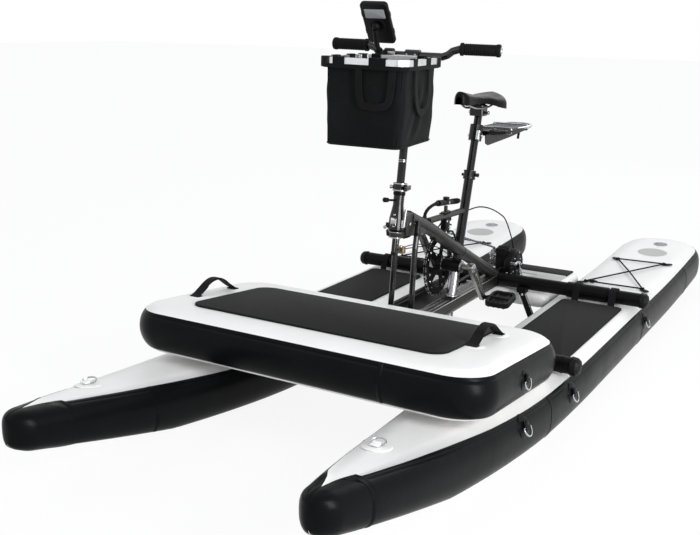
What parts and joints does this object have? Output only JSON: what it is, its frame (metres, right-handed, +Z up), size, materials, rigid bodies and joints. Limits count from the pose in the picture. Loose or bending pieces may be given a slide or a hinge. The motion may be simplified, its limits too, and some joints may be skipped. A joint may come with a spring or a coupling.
{
  "type": "water bike",
  "caption": "Pedal catamaran: two inflatable floats and a foredeck carry a folding bicycle frame, basket, saddle and rack, with a chain drive to a drop-down propeller leg",
  "frame": {"origin": "middle of the underside of the bounding box, on the surface that the floats rest on", "axes": "+Z up, the bow points to -Y, the rider's left is +X"},
  "size_m": [1.1706, 3.0905, 1.1855],
  "materials": {
    "bag_cloth.basket_bag": "coated woven cloth",
    "rim_aluminium.basket_rim": "satin",
    "tube_black.beam_stay_left": "satin black powder coat",
    "tube_black.beam_stay_right": "satin black powder coat",
    "tube_black.bottom_bracket": "satin black powder coat",
    "webbing.bungee_left": "woven webbing",
    "webbing.bungee_right": "woven webbing",
    "bronze.cable_block": "dull bronze",
    "polished.chain": "polished",
    "tube_black.chainwheel": "satin black powder coat",
    "polished.crankset": "polished",
    "webbing.deck_handle_left": "woven webbing",
    "webbing.deck_handle_right": "woven webbing",
    "polished.drive_leg": "polished",
    "hull_pvc.float_left": "satin PVC fabric, white tops and near-black walls",
    "eva_foam.float_pad_left": "grooved charcoal foam",
    "eva_foam.float_pad_right": "grooved charcoal foam",
    "hull_pvc.float_right": "satin PVC fabric, white tops and near-black walls",
    "black_plastic.fold_latch": "moulded, fine grain",
    "hull_pvc.foredeck": "satin PVC fabric, white tops and near-black walls",
    "eva_foam.foredeck_pad": "grooved charcoal foam",
    "tube_black.front_beam": "satin black powder coat",
    "black_plastic.front_beam_cap_left": "moulded, fine grain",
    "black_plastic.front_beam_cap_right": "moulded, fine grain",
    "tube_black.front_leg_left": "satin black powder coat",
    "tube_black.front_leg_right": "satin black powder coat",
    "polished.gear_sprocket": "polished",
    "tube_black.gearbox": "satin black powder coat",
    "black_rubber.grip_left": "matte",
    "black_rubber.grip_right": "matte",
    "tube_black.handlebar": "satin black powder coat",
    "tube_black.handlepost": "satin black powder coat",
    "keel_grey.keel_beam": "dark anodised",
    "polished.leg_sleeve": "polished",
    "black_rubber.lift_cable": "matte",
    "black_rubber.lift_hose": "matte",
    "black_plastic.lift_lever": "moulded, fine grain",
    "tube_black.main_tube_front": "satin black powder coat",
    "tube_black.main_tube_rear": "satin black powder coat",
    "black_plastic.pedal_left": "moulded, fine grain",
    "black_plastic.pedal_right": "moulded, fine grain",
    "black_plastic.phone_case": "moulded, fine grain",
    "black_plastic.phone_mount": "moulded, fine grain",
    "polished.post_clamp": "polished",
    "polished.post_lever": "polished",
    "black_plastic.propeller": "moulded, fine grain",
    "polished.rack_clamp": "polished",
    "tube_black.rear_beam": "satin black powder coat",
    "black_plastic.rear_beam_cap_left": "moulded, fine grain",
    "black_plastic.rear_beam_cap_right": "moulded, fine grain",
    "hull_pvc.rear_panel": "satin PVC fabric, white tops and near-black walls",
    "tube_black.rear_rack": "satin black powder coat",
    "black_rubber.saddle": "matte",
    "polished.seat_collar": "polished",
    "polished.seat_lever": "polished",
    "tube_black.seat_post": "satin black powder coat",
    "tube_black.seat_tube": "satin black powder coat",
    "tube_black.steering_base": "satin black powder coat",
    "tube_black.stem_post": "satin black powder coat",
    "tube_black.upper_tube": "satin black powder coat"
  },
  "bodies": {
    "craft": {"beam_stay_left": "tube_black.beam_stay_left", "beam_stay_right": "tube_black.beam_stay_right", "bottom_bracket": "tube_black.bottom_bracket", "bungee_left": "webbing.bungee_left", "bungee_right": "webbing.bungee_right", "chain": "polished.chain", "deck_handle_left": "webbing.deck_handle_left", "deck_handle_right": "webbing.deck_handle_right", "float_left": "hull_pvc.float_left", "float_pad_left": "eva_foam.float_pad_left", "float_pad_right": "eva_foam.float_pad_right", "float_right": "hull_pvc.float_right", "foredeck": "hull_pvc.foredeck", "foredeck_pad": "eva_foam.foredeck_pad", "front_beam": "tube_black.front_beam", "front_beam_cap_left": "black_plastic.front_beam_cap_left", "front_beam_cap_right": "black_plastic.front_beam_cap_right", "front_leg_left": "tube_black.front_leg_left", "front_leg_right": "tube_black.front_leg_right", "gearbox": "tube_black.gearbox", "keel_beam": "keel_grey.keel_beam", "lift_cable": "black_rubber.lift_cable", "lift_hose": "black_rubber.lift_hose", "main_tube_front": "tube_black.main_tube_front", "main_tube_rear": "tube_black.main_tube_rear", "rear_beam": "tube_black.rear_beam", "rear_beam_cap_left": "black_plastic.rear_beam_cap_left", "rear_beam_cap_right": "black_plastic.rear_beam_cap_right", "rear_panel": "hull_pvc.rear_panel", "seat_collar": "polished.seat_collar", "seat_tube": "tube_black.seat_tube", "upper_tube": "tube_black.upper_tube"},
    "steering": {"steering_base": "tube_black.steering_base", "cable_block": "bronze.cable_block"},
    "post": {"handlepost": "tube_black.handlepost", "post_clamp": "polished.post_clamp"},
    "latch": {"fold_latch": "black_plastic.fold_latch"},
    "post_clamp_lever": {"post_lever": "polished.post_lever"},
    "cockpit": {"stem_post": "tube_black.stem_post", "handlebar": "tube_black.handlebar", "grip_left": "black_rubber.grip_left", "grip_right": "black_rubber.grip_right", "basket_rim": "rim_aluminium.basket_rim", "basket_bag": "bag_cloth.basket_bag", "phone_mount": "black_plastic.phone_mount"},
    "phone": {"phone_case": "black_plastic.phone_case"},
    "seat": {"seat_post": "tube_black.seat_post", "saddle": "black_rubber.saddle", "rack_clamp": "polished.rack_clamp", "rear_rack": "tube_black.rear_rack"},
    "seat_clamp_lever": {"seat_lever": "polished.seat_lever"},
    "crank": {"crankset": "polished.crankset", "chainwheel": "tube_black.chainwheel"},
    "left_pedal": {"pedal_left": "black_plastic.pedal_left"},
    "right_pedal": {"pedal_right": "black_plastic.pedal_right"},
    "sprocket": {"gear_sprocket": "polished.gear_sprocket"},
    "leg_swivel": {"leg_sleeve": "polished.leg_sleeve"},
    "leg": {"drive_leg": "polished.drive_leg"},
    "prop": {"propeller": "black_plastic.propeller"},
    "release": {"lift_lever": "black_plastic.lift_lever"}
  },
  "joints": [
    {"name": "steer", "type": "hinge", "parent": "craft", "child": "steering", "pos_m": [0, -0.3955, 0.522], "axis": [0, 0.1478, 0.989], "range_deg": [-41, 29]},
    {"name": "post_fold", "type": "hinge", "parent": "steering", "child": "post", "pos_m": [-0.02435, -0.39816, 0.5224], "axis": [0.1097, -0.983, 0.1469], "range_deg": [0, 70]},
    {"name": "latch_turn", "type": "hinge", "parent": "post", "child": "latch", "pos_m": [-0.00517, -0.39889, 0.60744], "axis": [-0.3078, -0.941, 0.1406], "range_deg": [-90, 90]},
    {"name": "post_lever_swing", "type": "hinge", "parent": "post", "child": "post_clamp_lever", "pos_m": [0.02516, -0.36428, 0.64481], "axis": [0.0162, 0.0009, 0.9999], "range_deg": [0, 90]},
    {"name": "stem_height", "type": "slide", "parent": "post", "child": "cockpit", "axis": [0, 0.1478, 0.989], "range_m": [-0.025, 0.05]},
    {"name": "phone_tilt", "type": "hinge", "parent": "cockpit", "child": "phone", "pos_m": [-0.07236, -0.41862, 1.11176], "axis": [0.994, 0.1085, -0.0162], "range_deg": [-15, 15]},
    {"name": "seat_height", "type": "slide", "parent": "craft", "child": "seat", "axis": [0, 0.2573, 0.9663], "range_m": [-0.09, 0.12]},
    {"name": "seat_lever_swing", "type": "hinge", "parent": "craft", "child": "seat_clamp_lever", "pos_m": [-0.0256, 0.14533, 0.61479], "axis": [0, 0.2079, 0.9781], "range_deg": [0, 90]},
    {"name": "crank_turn", "type": "hinge", "parent": "craft", "child": "crank", "pos_m": [0, 0.0325, 0.315], "axis": [1, 0, 0], "continuous": true},
    {"name": "left_pedal_spin", "type": "hinge", "parent": "crank", "child": "left_pedal", "pos_m": [0.074, 0.13856, 0.1886], "axis": [1, 0, 0], "continuous": true},
    {"name": "right_pedal_spin", "type": "hinge", "parent": "crank", "child": "right_pedal", "pos_m": [-0.074, -0.07356, 0.4414], "axis": [1, 0, 0], "continuous": true},
    {"name": "sprocket_spin", "type": "hinge", "parent": "craft", "child": "sprocket", "pos_m": [0, 0.5265, 0.248], "axis": [1, 0, 0], "continuous": true},
    {"name": "leg_yaw", "type": "hinge", "parent": "craft", "child": "leg_swivel", "pos_m": [0, 0.5605, 0.15], "axis": [0, 0, 1], "range_deg": [-15, 21]},
    {"name": "leg_drop", "type": "slide", "parent": "leg_swivel", "child": "leg", "axis": [0, 0, -1], "range_m": [0, 0.09]},
    {"name": "propeller_spin", "type": "hinge", "parent": "leg", "child": "prop", "pos_m": [0, 0.6105, 0.098], "axis": [0, 1, 0], "continuous": true},
    {"name": "lift_lever_swing", "type": "hinge", "parent": "craft", "child": "release", "pos_m": [0, -0.0395, 0.547], "axis": [1, 0, 0], "range_deg": [-7, 15]}
  ],
  "couplings": [
    {"joint": "sprocket_spin", "follows": "crank_turn", "ratio": 4.7273},
    {"joint": "propeller_spin", "follows": "crank_turn", "ratio": 9.4545},
    {"joint": "leg_yaw", "follows": "steer", "ratio": -0.5}
  ]
}
